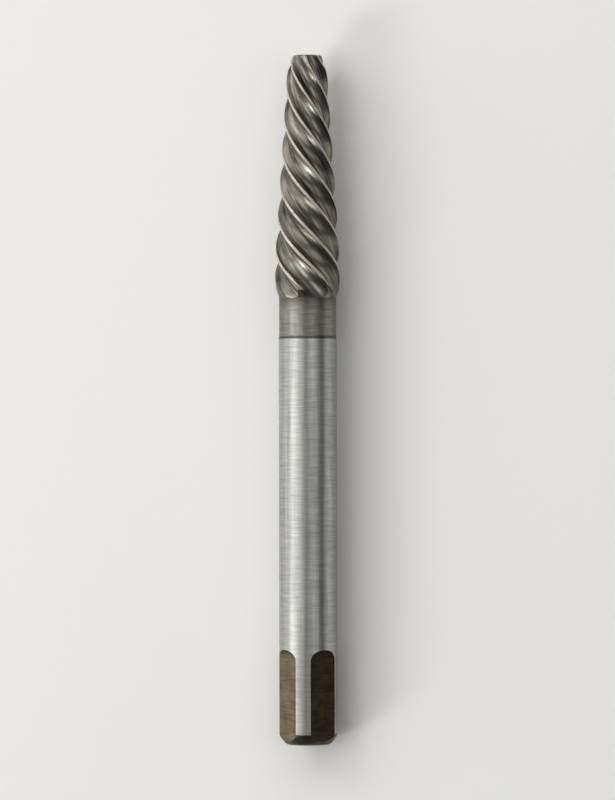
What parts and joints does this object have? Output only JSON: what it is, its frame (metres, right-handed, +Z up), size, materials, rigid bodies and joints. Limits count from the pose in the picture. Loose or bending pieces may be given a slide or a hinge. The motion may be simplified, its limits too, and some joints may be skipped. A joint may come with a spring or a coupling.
{
  "type": "screw extractor",
  "caption": "Spiral-flute screw extractor: a tapered head with left-hand flutes on a round shank that ends in a square for a tap wrench, lying on its side.",
  "frame": {"origin": "middle of the bounding box, on the surface that the tool lies on", "axes": "+Y along the tool from its square drive end to its fluted tip, +Z up, +X across it"},
  "size_m": [0.0058, 0.0604, 0.0056],
  "materials": {
    "tool_steel": "hardened tool steel: satin ground shank, matte neck, dark ground flutes and dark milled flats"
  },
  "bodies": {
    "root": {"screw_extractor": "tool_steel"}
  },
  "joints": []
}
